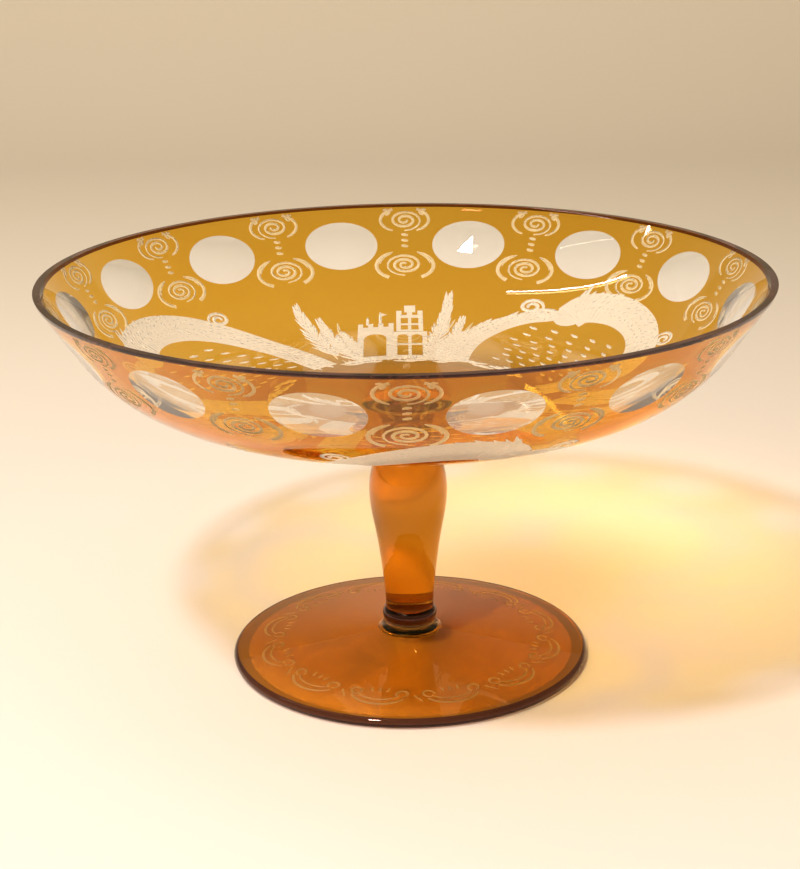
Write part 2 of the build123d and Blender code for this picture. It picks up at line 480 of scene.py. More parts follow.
def make_lathe():
    lathe = GeometryTree("lathe", Segments="NodeSocketInt")
    profile, segments = lathe.given("Geometry"), lathe.given("Segments")
    points = lathe.add("GeometryNodeAttributeDomainSize", {"component": "MESH"}, profile)
    columns = lathe.whole("ADD", segments, 1)
    grid = lathe.add("GeometryNodeMeshGrid", {}, 1.0, 1.0, points, columns)
    index = lathe.add("GeometryNodeInputIndex")
    ring = lathe.whole("DIVIDE_FLOOR", index, columns)
    column = lathe.whole("MODULO", index, columns)
    place = lathe.add("GeometryNodeInputPosition")
    sampled = lathe.add(
        "GeometryNodeSampleIndex", {"data_type": "FLOAT_VECTOR"}, profile, place, ring
    )
    radius, _, height = split(sampled)
    step = lathe.add("ShaderNodeMath", {"operation": "DIVIDE"}, 2 * math.pi, segments)
    turned = lathe.turned(radius, column * step, height)
    body = lathe.add("GeometryNodeSetPosition", {}, grid, None, turned)
    kind = lathe.add("GeometryNodeInputNamedAttribute", {"data_type": "INT"}, "finish")
    band = lathe.whole("DIVIDE_FLOOR", index, segments)
    finish = lathe.add("GeometryNodeSampleIndex", {"data_type": "INT"}, profile, kind, band)
    body = lathe.add(
        "GeometryNodeStoreNamedAttribute", {"data_type": "INT", "domain": "FACE"},
        body, None, "finish", finish,
    )
    body = lathe.add("GeometryNodeMergeByDistance", {}, body, Distance=WELD)
    lathe.finished(body, FINISHES)
    return lathe


LATHE = make_lathe()


def turn(name, outline):
    """Turns an outline of (radius, height, finish of the stretch that starts there)."""
    points = [(radius, 0.0, height) for radius, height, _ in outline]
    edges = [(number, number + 1) for number in range(len(points) - 1)]
    piece = new_piece(name, points, edges, finish=[kind for _, _, kind in outline])
    return LATHE.apply(piece, Segments=SEGMENTS)


def with_finish(side, kind):
    return [(float(radius), float(height), kind) for radius, height in side]


# %% [markdown]
# ## Closing, facing and shading a piece
# A finished piece is one closed skin: doubled points are welded, loose bits dropped, and faces turned
# outwards. Polished glass is shaded smooth, but a corner between two surfaces stays a corner.

# %% Closing a piece
CORNER = math.radians(28.0)


def close_skin(piece):
    """Welds, turns faces outwards, and reports open edges."""
    work = bmesh.new()
    work.from_mesh(piece.data)
    bmesh.ops.remove_doubles(work, verts=work.verts, dist=WELD)
    bmesh.ops.dissolve_degenerate(work, dist=WELD, edges=work.edges)
    bmesh.ops.recalc_face_normals(work, faces=work.faces)
    if work.calc_volume(signed=True) < 0:
        bmesh.ops.reverse_faces(work, faces=work.faces)
    open_edges = sum(1 for edge in work.edges if len(edge.link_faces) != 2)
    volume = work.calc_volume()
    work.to_mesh(piece.data)
    work.free()
    piece.data.polygons.foreach_set("use_smooth", [True] * len(piece.data.polygons))
    piece.data.set_sharp_from_angle(angle=CORNER)
    faces = len(piece.data.polygons)
    print(piece.name, "faces", faces, "open edges", open_edges, "cm3", round(volume * 1e6, 1))
    return piece


# %% [markdown]
# ## Hub, ring, stem and button
# These four gathers of amber glass sit on one another. Their seats carry the fused seam, so light
# passes from one into the next as it does in glass that was joined hot.

# %% Turned amber pieces
button_r, button_z = outline_of("bowl_button")
BUTTON_RADIUS = float(button_r.max())
BUTTON_LIP = float(button_z[button_r > BUTTON_RADIUS - 1e-5].min())
amber_pieces = []


def turned_amber(name, node_name, low, high, rings, finish=STEM):
    """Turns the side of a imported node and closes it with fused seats."""
    side = with_finish(side_of(node_name, low, high, rings), finish)
    side[-1] = (*side[-1][:2], FUSED)
    outline = [(0.0, low, FUSED)] + side + [(0.0, high, FUSED)]
    amber_pieces.append((close_skin(turn(name, outline)), node_name))


turned_amber("hub", "foot_hub", HUB_SEAT, COLLAR_SEAT, 14)
# the ring takes painted shade: near-black glass for the dark it shows from light trapped inside
turned_amber("stem_ring", "stem_collar", COLLAR_SEAT, STEM_SEAT, 20, PAINTED_DARK)
turned_amber("baluster_stem", "stem", STEM_SEAT, STEM_TOP, 110)
button_side = with_finish(side_of("bowl_button", STEM_TOP, BUTTON_LIP, 40), STEM)
seat_downs = WALL_END - np.linspace(BUTTON_RADIUS, 0.0, 9)
seat = with_finish(zip(*wall_at(seat_downs)), FUSED)
seat[-1] = (0.0, seat[-1][1], FUSED)
button = close_skin(turn("button", [(0.0, STEM_TOP, FUSED)] + button_side[:-1] + seat))
amber_pieces.append((button, "bowl_button"))

# %% [markdown]
# ## The engraver's sheet
# The cutting is drawn flat first, as if the wall were rolled out on a table: across is the turn
# round the axis, down is the way from the rim. A constrained triangulation then makes the drawing part
# of the mesh, so a scroll's edge is an edge of the glass and not a picture on it. A groove is a chain
# of points down its middle, cut a fifth of a millimetre deep between two edges at the surface.

# %% The sheet
SHEET_RADIUS = 100.0
ACROSS = SHEET_RADIUS * math.pi / 180
SEAM = 90.0  # the turn at which the two ends of the sheet meet
PLAIN, FINE, GROUND, ISLAND, LENS = range(5)  # where two areas overlap, the later kind wins
CLEARANCE = 0.6  # from the seam, in millimetres like the depths below
GROOVE_DEEP = (0.16, 0.26)
GROUND_DEEP = 0.07


class Sheet:
    """A flat drawing in millimetres that becomes the outside of a turned glass wall."""

    def __init__(self, radius_of, rows, seed):
        self.radius_of = radius_of
        self.dice = random.Random(seed)
        self.points, self.faces, self.kinds, self.middles = [], [], [], set()
        self.top, self.bottom = rows[0] + 0.4, rows[-1] - 0.8
        for level in rows:
            inside = rows[0] < level < rows[-1]
            for column in range(SEGMENTS + 1):
                turn = SEAM - 360 + 360 * column / SEGMENTS
                loose = inside and 0 < column < SEGMENTS
                shift = self.dice.uniform(-0.25, 0.25) if loose else 0.0
                lift = self.dice.uniform(-0.3, 0.3) if loose else 0.0
                self.points.append((turn * ACROSS + shift, float(level) + lift))

    def scale(self, level):
        return float(self.radius_of(level * MM)) / MM / SHEET_RADIUS

    def spot(self, turn, level, x=0.0, y=0.0):
        """A place on the sheet: a turn and a way down, moved by x and y as measured on the glass."""
        return turn * ACROSS + x / self.scale(level + y), level + y

    def kept_in(self, points, gap=CLEARANCE):
        """Keeps a drawing on the sheet, clear of its long edges and of the seam."""
        low, high = (SEAM - 360) * ACROSS + gap, SEAM * ACROSS - gap
        return [(min(max(x, low), high), min(max(y, self.top), self.bottom)) for x, y in points]

    def area(self, points, kind):
        first = len(self.points)
        self.points.extend(self.kept_in(points, 0.0 if kind == LENS else CLEARANCE))
        self.faces.append(list(range(first, first + len(points))))
        self.kinds.append(kind)

    def stroke(self, line, width, ends=(0.3, 0.3), kind=GROUND):
        """A groove along a line of places, with a width that swells between its two ends."""
        sides = []
        last = len(line) - 1
        for number, (x, y) in enumerate(line):
            before, after = line[max(0, number - 1)], line[min(last, number + 1)]
            scale = self.scale(y)
            way_x, way_y = (after[0] - before[0]) * scale, after[1] - before[1]
            length = math.hypot(way_x, way_y) or 1.0
            share = number / last
            end = ends[0] * (1 - share) + ends[1] * share
            half = width / 2 * (end + (1 - end) * math.sin(math.pi * share) ** 0.6)
            over, down = -way_y / length * half / scale, way_x / length * half
            sides.append(((x - over, y - down), (x, y), (x + over, y + down)))
        first = len(self.points)
        for place in sides:
            self.points.extend(self.kept_in(place))
        for number in range(last):
            a = first + 3 * number
            self.faces += [[a, a + 1, a + 4, a + 3], [a + 1, a + 2, a + 5, a + 4]]
            self.kinds += [kind, kind]
            self.middles.add(a + 1)
        self.middles.add(first + 3 * last + 1)

    def kinds_at(self, centres):
        """The kind of surface at each of many places, the highest where areas overlap."""
        order = np.argsort(centres[:, 0])
        x, y = centres[order].T
        found = np.zeros(len(centres), dtype=int)
        for area, kind in zip(self.faces, self.kinds):
            ring = np.array([self.points[number] for number in area])
            low, high = np.searchsorted(x, (ring[:, 0].min(), ring[:, 0].max()))
            near_x, near_y = x[low:high, None], y[low:high, None]
            (x0, y0), (x1, y1) = ring.T, np.roll(ring, -1, axis=0).T
            crosses = (y0 > near_y) != (y1 > near_y)
            reach = x0 + (near_y - y0) * (x1 - x0) / np.where(y1 == y0, 1e-12, y1 - y0)
            inside = (crosses & (near_x < reach)).sum(axis=1) % 2 == 1
            found[order[low:high][inside]] = np.maximum(found[order[low:high][inside]], kind)
        return found

    def cut(self, name, depth_in_window, finishes=(AMBER, LIGHT_MATT, MATT, AMBER, CUT)):
        """Triangulates the drawing and returns the sheet as a piece with depths and finishes."""
        flat = [Vector(point) for point in self.points]
        borders = {
            (min(pair), max(pair)) for area in self.faces for pair in zip(area, area[1:] + area[:1])
        }
        made = delaunay_2d_cdt(flat, sorted(borders), [], 0, 1e-4, True)
        points = np.array([tuple(point) for point in made[0]])
        corners, sources = np.array(made[2]), made[3]
        faces = corners.tolist()
        kinds = self.kinds_at(points[corners].mean(axis=1))
        at_surface = np.zeros(len(points), dtype=bool)
        at_surface[corners[(kinds == PLAIN) | (kinds == ISLAND)].ravel()] = True
        depth = np.zeros(len(points))
        for number in np.unique(corners[(kinds == GROUND) | (kinds == FINE)]):
            if not at_surface[number]:
                middle = any(source in self.middles for source in sources[number])
                depth[number] = self.dice.uniform(*GROOVE_DEEP) if middle else GROUND_DEEP
        for number in np.unique(corners[kinds == LENS]):
            depth[number] = depth_in_window(*points[number])
        places = [(x * MM, y * MM, -deep * MM) for (x, y), deep in zip(points, depth)]
        finish = [finishes[kind] for kind in kinds]
        print(name, "points", len(points), "triangles", len(faces))
        return new_piece(name, places, [], faces, "FACE", finish)


# %% [markdown]
# ## Rolling the sheet round the wall
# A second tree takes the flat sheet and lays it on the wall: how far across becomes the angle, how far
# down is looked up along the wall's profile as a curve, and the depth goes in along the normal.

# %% The wrap
def make_wrap():
    wrap = GeometryTree("wrap", Profile="NodeSocketObject", Side="NodeSocketFloat")
    sheet = wrap.given("Geometry")
    profile = wrap.add("GeometryNodeObjectInfo", {}, wrap.given("Profile"), output=4)
    curve = wrap.add("GeometryNodeMeshToCurve", {}, profile)
    across, down, lift = split(wrap.add("GeometryNodeInputPosition"))
    sampled = wrap.add("GeometryNodeSampleCurve", {"mode": "LENGTH"}, Curves=curve, Length=down)
    found = sampled.socket.node
    radius, _, height = split(Wire(wrap.tree, found.outputs["Position"]))
    tangent = wrap.add(
        "ShaderNodeVectorMath", {"operation": "NORMALIZE"}, Wire(wrap.tree, found.outputs["Tangent"])
    )
    along, _, rise = split(tangent)
    lift = lift * wrap.given("Side")
    angle = across * (1 / (SHEET_RADIUS * MM))
    place = wrap.turned(radius - rise * lift, angle, height + along * lift)
    wall = wrap.add("GeometryNodeSetPosition", {}, sheet, None, place)
    wall = wrap.add("GeometryNodeMergeByDistance", {}, wall, Distance=WELD)
    wrap.finished(wall, FINISHES)
    return wrap


WRAP = make_wrap()


def roll_up(sheet_piece, profile_points, side):
    """Lays a flat sheet on the wall of a profile; side says which way leads into the glass."""
    edges = [(number, number + 1) for number in range(len(profile_points) - 1)]
    places = [(float(radius), 0.0, float(height)) for radius, height in profile_points]
    profile = new_piece("profile", places, edges)
    WRAP.apply(sheet_piece, Profile=profile, Side=float(side))
    bpy.data.objects.remove(profile)
    return sheet_piece


# %% [markdown]
# ## Windows and spirals
# Fourteen oval windows are ground hollow and polished again, so they show the clear glass. Between
# two windows a rounder spiral stands over a flatter one, with three dashes between them.

# %% Windows and spirals
WINDOWS = 14
WINDOW_STEP = 360 / WINDOWS
WINDOW_DOWN, WINDOW_WIDE, WINDOW_TALL = 17.5, 14.1, 9.8
WINDOW_DEPTH = 0.9
print("windows", WINDOWS, "of", 2 * WINDOW_WIDE, "x", 2 * WINDOW_TALL, "mm")


def window_share(x, y):
    """Where a place lies in its window: across and down, both 1 at the edge."""
    turn = x / ACROSS
    middle = SEAM + WINDOW_STEP * np.round((turn - SEAM) / WINDOW_STEP)
    reach = WINDOW_WIDE / (float(radius_at(WINDOW_DOWN * MM)) / MM / SHEET_RADIUS)
    return (turn - middle) * ACROSS / reach, (y - WINDOW_DOWN) / WINDOW_TALL


def window_depth(x, y):
    across, down = window_share(x, y)
    return WINDOW_DEPTH * max(0.0, 1.0 - across**2 - down**2)


def draw_window(sheet, turn, start=0.0, end=360.0, count=56):
    reach = WINDOW_WIDE / sheet.scale(WINDOW_DOWN)
    steps = [math.radians(start + (end - start) * number / count) for number in range(count + 1)]
    ring = [
        (turn * ACROSS + reach * math.sin(step), WINDOW_DOWN - WINDOW_TALL * math.cos(step))
        for step in steps[:-1]
    ]
    if end - start < 360:  # half a window ends exactly on the seam
        ring[0] = (turn * ACROSS, ring[0][1])
        ring.append((turn * ACROSS, WINDOW_DOWN - WINDOW_TALL * math.cos(steps[-1])))
    sheet.area(ring, LENS)


def spiral(sheet, turn, level, wide, tall, turns, start, width, hand=1, inner=0.12, count=40, kind=FINE):
    """A flat oval spiral that winds inwards."""
    line = []
    for number in range(count):
        share = number / (count - 1)
        angle = start + hand * turns * 2 * math.pi * share
        reach = 1 - (1 - inner) * share**0.9
        line.append(sheet.spot(turn, level, wide / 2 * reach * math.cos(angle),
                               tall / 2 * reach * math.sin(angle)))
    sheet.stroke(line, width, (0.45, 0.7), kind)


def arc(sheet, turn, level, x, y, wide, tall, start, end, width, ends=(0.3, 0.3), count=9, kind=FINE):
    """One stroke along a piece of an oval."""
    line = []
    for number in range(count):
        angle = math.radians(start + (end - start) * number / (count - 1))
        line.append(sheet.spot(turn, level, x + wide * math.cos(angle), y + tall * math.sin(angle)))
    sheet.stroke(line, width, ends, kind)


def draw_spirals(sheet, turn):
    """The upper and the lower spiral between two windows, with their arcs and dashes."""
    dice = sheet.dice
    hand = dice.choice((-1, 1))
    spiral(sheet, turn, 7.6, 13.5, 8.6, 2.3, math.pi / 2, 1.1, hand)
    for side in (-1, 1):
        low, high = (115, 245) if side < 0 else (65, -65)
        arc(sheet, turn, 7.4, side * 1.2, 0, 8.2, 4.9, low, high, 1.2, (0.5, 1.0))
        arc(sheet, turn, 7.4, side * 7.4, -3.2, 1.5, 1.1, 90, 90 + side * 220, 1.1, (0.7, 0.7), 6)
    for step in range(3):
        centre = 13.6 + step * 2.3
        line = [sheet.spot(turn, centre, x, 0.15 * x) for x in (-1.3, 0, 1.3)]
        sheet.stroke(line, 1.25, (0.6, 0.6), FINE)
    spiral(sheet, turn, 26.0, 15.0, 9.6, 2.6, math.pi / 2, 1.15, -hand)
    for side in (-1, 1):
        low, high = (250, 120) if side < 0 else (-70, 60)
        arc(sheet, turn, 25.8, side * 1.4, 0.6, 9.6, 6.0, low, high, 1.5, (0.3, 1.0))
        arc(sheet, turn, 25.8, side * 0.6, -0.2, 9.0, 5.2, low + side * 10, high - side * 60, 1.0)


# %% [markdown]
# ## Feathered scrolls, trees and ground
# The big shapes are built the way an engraver builds them: a matt ground first, then a row of
# leaf-shaped wheel cuts leaning out of it, so the outer edge looks like a feather.

# %% Brushes
def follow(line, share):
    """A place and its direction at a share of the way along a line of places."""
    place = share * (len(line) - 1)
    number = min(int(place), len(line) - 2)
    rest = place - number
    (x0, y0), (x1, y1) = line[number], line[number + 1]
    return x0 + (x1 - x0) * rest, y0 + (y1 - y0) * rest, x1 - x0, y1 - y0


def rounded(places, count=40):
    """A smooth line through a few places (a Catmull-Rom curve)."""
    knots = np.array(places, dtype=float)
    padded = np.vstack([2 * knots[0] - knots[1], knots, 2 * knots[-1] - knots[-2]])
    line = []
    for share in np.linspace(0, len(knots) - 1, count):
        number = min(int(share), len(knots) - 2)
        t = share - number
        a, b, c, d = padded[number:number + 4]
        bend = (c - a) * t + (2 * a - 5 * b + 4 * c - d) * t**2 + (3 * b - a - 3 * c + d) * t**3
        line.append(tuple(b + bend / 2))
    return line


def band(sheet, line, widths):
    """A matt ground along a line; widths gives the reach to its left and right at each share."""
    left, right = [], []
    for number, (x, y) in enumerate(line):
        share = number / (len(line) - 1)
        _, _, way_x, way_y = follow(line, share)
        scale = sheet.scale(y)
        length = math.hypot(way_x * scale, way_y)
        over, down = -way_y / length / scale, way_x * scale / length
        to_left, to_right = widths(share)
        left.append((x + over * to_left, y + down * to_left))
        right.append((x - over * to_right, y - down * to_right))
    for number in range(len(line) - 1):
        quad = [left[number], left[number + 1], right[number + 1], right[number]]
        sheet.area(quad, GROUND)


def feather(sheet, line, count, side, lean, reach, width, span=(0.0, 1.0)):
    """Leaf-shaped cuts that start in a band and lean out of one side of it."""
    for number in range(count):
        share = span[0] + (span[1] - span[0]) * (number + sheet.dice.uniform(0.2, 0.8)) / count
        x, y, way_x, way_y = follow(line, share)
        scale = sheet.scale(y)
        heading = math.atan2(way_y, way_x * scale) + side * math.radians(lean)
        long = reach(share) * sheet.dice.uniform(0.85, 1.12)
        leaf = []
        for part in (0.0, 0.35, 0.7, 1.0):
            turned = heading - side * math.radians(22) * part
            leaf.append((x + math.cos(turned) * long * part / scale, y + math.sin(turned) * long * part))
        sheet.stroke(leaf, width * sheet.dice.uniform(0.85, 1.15), (0.7, 0.15))


def draw_arch_scroll(sheet, turn):
    """The tall feathered arch: a round head, then a back that sweeps down to the ground."""
    knots = [(41.5, 45.5), (43.5, 40.5), (49.0, 38.0), (56.0, 38.5), (64.0, 43.0), (71.5, 52.0),
             (77.0, 65.0), (79.5, 80.0), (80.5, 92.0)]
    line = rounded([sheet.spot(turn + angle, level) for angle, level in knots], 48)
    band(sheet, line, lambda share: (8.5 - 3.9 * share, 7.4 - 1.6 * share))
    head = [
        sheet.spot(turn + 41.4, 44.8, 6.4 * math.cos(step), 6.0 * math.sin(step))
        for step in np.linspace(0, 2 * math.pi, 17)[:-1]
    ]
    sheet.area(head, GROUND)
    feather(sheet, line, 40, -1, 50, lambda share: 12.4 - 5.4 * share, 2.2, (0.04, 0.97))
    feather(sheet, line, 24, 1, 44, lambda share: 11.4 - 2.3 * share, 1.9, (0.22, 0.95))
    spiral(sheet, turn + 73.0, 42.0, 10.0, 8.0, 1.7, math.pi * 0.8, 1.5, 1, 0.2, 22, GROUND)


def draw_ground_scroll(sheet, turn):
    """The scroll beside the castle: thick at the ground, thin where it curls at the top."""
    knots = [(18.0, 93.0), (18.2, 80.0), (20.5, 67.0), (25.0, 56.5), (31.0, 50.0), (38.5, 47.0)]
    line = rounded([sheet.spot(turn + angle, level) for angle, level in knots], 40)

    def widths(share):
        half = 1.6 + 6.6 * (1 - share) ** 0.8
        return half, half

    band(sheet, line, widths)
    feather(sheet, line, 30, -1, 48, lambda share: 5.4 + 7.8 * (1 - share), 2.2, (0.02, 0.98))
    feather(sheet, line, 22, 1, 38, lambda share: 4.6 + 6.4 * (1 - share), 2.0, (0.02, 0.9))
    spiral(sheet, turn + 30.5, 43.0, 11.0, 8.4, 1.8, math.pi * 0.3, 1.6, -1, 0.2, 22, GROUND)
    arc(sheet, turn + 35.5, 47.0, 0, 0, 6.5, 3.4, 190, 330, 1.7, (0.3, 0.8), 9, GROUND)


def plume(sheet, turn, foot, top, wide, lean, leaves):
    """Upward strokes on both sides of a stalk."""
    tall = foot - top
    trunk = [sheet.spot(turn, foot - tall * part, lean * part) for part in np.linspace(0, 0.97, 14)]
    sheet.stroke(trunk, 1.8, (1.0, 0.2))
    for number in range(leaves):
        part = (number + sheet.dice.uniform(0, 0.6)) / leaves
        side = 1 if number % 2 else -1
        spread = wide * sheet.dice.uniform(0.7, 1.1) * (1 - 0.8 * part**1.3)
        long = tall * sheet.dice.uniform(0.15, 0.21)
        start = foot - tall * part * 0.84
        leaf = [
            sheet.spot(turn, start - long * step**0.85, lean * part + side * spread * step**0.75)
            for step in (0.0, 0.33, 0.66, 1.0)
        ]
        sheet.stroke(leaf, 1.5 * sheet.dice.uniform(0.8, 1.2), (0.8, 0.15))


def draw_trees(sheet, turn):
    """A taller and a shorter cypress on each side of the castle, with paler growth between."""
    for angle, foot, top, wide, lean, leaves in (
        (-27.0, 84.0, 40.0, 5.4, 1.0, 28),
        (-21.8, 90.0, 49.0, 5.0, -1.0, 26),
        (-17.5, 92.0, 60.0, 3.4, -1.0, 16),
        (9.8, 92.0, 37.5, 5.0, 0.5, 30),
        (14.2, 92.0, 50.0, 4.0, 0.8, 20),
    ):
        plume(sheet, turn + angle, foot, top, wide, lean, leaves)
    for number in range(26):
        angle = sheet.dice.choice((-29, -27.5, -24, -19.5, -18, 8, 11.5, 15.5, 16.5))
        start = sheet.dice.uniform(62, 90)
        line = [sheet.spot(turn + angle, start - part * 10, part * 2.0) for part in (0, 0.5, 1)]
        sheet.stroke(line, 1.2, (0.4, 0.3), FINE)


def draw_ground(sheet, turn):
    """Grass and stones under the castle and the scrolls."""
    for number in range(36):
        angle = -30 + 117 * (number + sheet.dice.uniform(0, 0.9)) / 47
        level = sheet.dice.uniform(90.5, 95.0)
        long = sheet.dice.uniform(4, 8)
        line = [sheet.spot(turn + angle, level, step, 0.3 - 0.03 * step * step)
                for step in np.linspace(-long / 2, long / 2, 5)]
        sheet.stroke(line, sheet.dice.uniform(1.2, 2.2))
    for number in range(36):
        angle = -28 + 46 * (number + 0.5) / 36
        start = sheet.dice.uniform(92, 94)
        x = sheet.dice.uniform(-0.5, 0.5)
        blade = [sheet.spot(turn + angle, start), sheet.spot(turn + angle, start - 3.2, x)]
        sheet.stroke(blade, 1.0, (0.9, 0.2))


# %% [markdown]
# ## The castle
# Two plain blocks with notched tops, set into a matt ground. Their windows are islands of uncut amber
# that the wheel went round, which is why they show in the same colour as the wall.

# %% The castle
def plumb(sheet, turn, x, start, end):
    """Places down one upright edge, which stays upright on the curved wall."""
    return [sheet.spot(turn, level, x) for level in np.linspace(start, end, 7)]


def block(sheet, turn, left, right, top, foot, notches=1, kind=GROUND):
    """A wall of masonry in millimetres, with a notched or a flat top."""
    outline = plumb(sheet, turn, left, foot, top)
    wide = (right - left) / max(1, 2 * notches - 1)
    for number in range(1, 2 * notches - 1):
        edge = left + wide * number
        here, there = (top, top + 2.6) if number % 2 else (top + 2.6, top)
        outline += [sheet.spot(turn, here, edge), sheet.spot(turn, there, edge)]
    sheet.area(outline + plumb(sheet, turn, right, top, foot), kind)


def arched(sheet, turn, left, right, top, foot):
    """An arched opening, which stays as an island of amber."""
    middle, half = (left + right) / 2, (right - left) / 2
    rise = half * 1.1
    outline = plumb(sheet, turn, left, foot, top + rise)
    for step in np.linspace(math.pi, 0, 9)[1:-1]:
        level = top + rise - rise * math.sin(step)
        outline.append(sheet.spot(turn, level, middle + half * math.cos(step)))
    sheet.area(outline + plumb(sheet, turn, right, top + rise, foot), ISLAND)


def draw_castle(sheet, turn):
    """A gatehouse and a keep, with two spires and a flag."""
    block(sheet, turn, -18.0, -4.6, 57.0, 92.5, 4)
    block(sheet, turn, -5.0, 7.8, 64.0, 92.5)
    block(sheet, turn, -3.6, 6.4, 49.0, 64.5, 3)
    block(sheet, turn, -0.6, 3.6, 46.0, 50.0)
    arched(sheet, turn, -15.6, -7.2, 66.0, 88.5)
    for left, right in ((-1.9, 0.8), (2.0, 4.7)):
        for top, foot in ((53.6, 57.4), (58.8, 62.4)):
            block(sheet, turn, left, right, top, foot, 1, ISLAND)
    for left, right in ((-3.2, 0.8), (2.0, 6.0)):
        arched(sheet, turn, left, right, 67.0, 76.0)
        block(sheet, turn, left, right, 78.0, 88.5, 1, ISLAND)
    for x in (-13.0, -9.8):
        sheet.stroke(plumb(sheet, turn, x, 67.0, 88.5), 0.6, (0.9, 0.9))
    for x, top in ((-9.6, 49.5), (-14.4, 52.5)):
        sheet.stroke(plumb(sheet, turn, x, 58.0, top), 1.1, (1.0, 0.3))
    flag = [sheet.spot(turn, level, x) for level, x in ((50.0, -9.6), (51.2, -7.0), (52.4, -9.6))]
    sheet.area(flag, GROUND)


def draw_dashes(sheet, turn):
    """Rows of short strokes in the amber field under the arch."""
    for row in range(7):
        level = 55.0 + row * 5.0
        low = 30.0 + 4.0 * abs(row - 1.6) ** 0.4 + (1.6 if row % 2 else 0.0)
        high = 61.0 + 2.6 * row
        count = int((high - low) / 5.8)
        for number in range(count + 1):
            angle = low + (high - low) * number / max(1, count)
            line = [sheet.spot(turn + angle, level, x, 0.6 * math.sin(x)) for x in (-1.9, 0, 1.9)]
            sheet.stroke(line, 1.5, (0.3, 0.5))


# %% [markdown]
# ## Cutting the wall
# The scene of castle, trees and scrolls repeats three times round the bowl. The seam of the sheet runs
# through the middle of one window, so that window is drawn as two halves that meet when it is rolled.

# %% The wall sheet
SHEET_LOW = 98.0
RIM_BAND = 1.3


def draw_wall():
    rows = [RIM_BAND] + list(np.linspace(3.0, SHEET_LOW, 38))
    sheet = Sheet(radius_at, rows, 7)
    draw_window(sheet, SEAM, 180, 360, 28)
    draw_window(sheet, SEAM - 360, 0, 180, 28)
    for number in range(1, WINDOWS):
        draw_window(sheet, SEAM - WINDOW_STEP * number)
    for number in range(WINDOWS):
        draw_spirals(sheet, SEAM - WINDOW_STEP * (number + 0.5))
    for turn in (0.0, -120.0, -240.0):
        draw_castle(sheet, turn)
        draw_trees(sheet, turn)
        draw_ground(sheet, turn)
        draw_ground_scroll(sheet, turn)
        draw_arch_scroll(sheet, turn)
        draw_dashes(sheet, turn)
    return sheet.cut("wall_sheet", window_depth)


wall_profile = list(zip(*wall_at(np.linspace(0, (SHEET_LOW + 6) * MM, 417))))
wall = roll_up(draw_wall(), wall_profile, 1)

# %% [markdown]
# ## Closing the bowl
# The plain parts are turned: a narrow flat rim with two fine bevels, the polished inside, and the
# uncut amber under the floor down to the seat of the button. All of them share the sheet's 336 steps
# round, so the parts weld into one closed skin.

# %% The bowl's turned parts
BEVEL = 0.45 * MM
BEVEL_BELOW = 1.0 * MM


def join(name, parts):
    """Makes one object of several; the first one keeps its place."""
    with bpy.context.temp_override(active_object=parts[0], selected_editable_objects=parts):
        bpy.ops.object.join()
    parts[0].name = name
    parts[0].data.name = name
    return parts[0]


def bowl_inside():
    first = THICKNESS / math.tan(WALL_ANGLE)
    downs = np.concatenate([np.linspace(WALL_END, BEND_END, 12), np.linspace(BEND_END, first, 36)[1:]])
    inside = with_finish(zip(*wall_at(downs, THICKNESS)), CLEAR)
    inside[0] = (0.0, inside[0][1], CLEAR)
    lip_radius = inside.pop()[0]
    rim = [wall_at(first + BEVEL_BELOW, THICKNESS), (lip_radius + BEVEL, RIM_HEIGHT),
           (RIM_RADIUS - BEVEL, RIM_HEIGHT), wall_at(RIM_BAND * MM)]
    # the rim and its two bevels take painted shade: near-black glass for the dark band round the rim
    return turn("bowl_inside", inside + with_finish(rim, PAINTED_DARK))


def bowl_underside():
    seat_down = WALL_END - BUTTON_RADIUS
    downs = np.concatenate([np.linspace(SHEET_LOW * MM, seat_down, 8), seat_downs[1:]])
    places = list(zip(*wall_at(downs)))
    under = with_finish(places[:7], FOOT_AMBER) + with_finish(places[7:], FUSED)
    under[-1] = (0.0, under[-1][1], FUSED)
    return turn("bowl_underside", under)


bowl = close_skin(join("compote_bowl", [wall, bowl_inside(), bowl_underside()]))

# %% [markdown]
# ## Polished normals
# Ground glass throws light about in facets, polished glass doesn't. The many small triangles round the
# engraving would show as facets in the polish, so polished faces get the exact normal of the wall or
# of the window's hollow, and only engraved faces keep their own.


# %% Polished normals
def slope_of(radius, height):
    """The wall's angle at a place on it or on any surface parallel to it."""
    bend = np.arctan2(radius - BEND_R, BEND_Z - height)
    floor = np.arctan2(radius, FLOOR_Z - height)
    return np.where(bend >= WALL_ANGLE, WALL_ANGLE, np.where(bend <= FLOOR_ANGLE, floor, bend))


def read_corners(mesh):
    """The place of every face corner, and the normal of its face."""
    places = read(mesh.vertices, "co", 3)[read(mesh.loops, "vertex_index", kind=int)]
    return places, np.repeat(read(mesh.polygons, "normal", 3), face_sizes(mesh), axis=0)


def face_sizes(mesh):
    return read(mesh.polygons, "loop_total", kind=int)


def set_normals(mesh, wanted):
    """Gives the corners of each finish their wanted normals; the others keep their own."""
    normals = read(mesh.corner_normals, "vector", 3)
    kinds = np.repeat(read(mesh.polygons, "material_index", kind=int), face_sizes(mesh))
    for material, directions in wanted:
        numbers = [number for number, one in enumerate(mesh.materials) if one == material]
        chosen = np.isin(kinds, numbers)
        normals[chosen] = directions[chosen]
        print(material.name, "corners", int(chosen.sum()))
    mesh.normals_split_custom_set(normals.tolist())


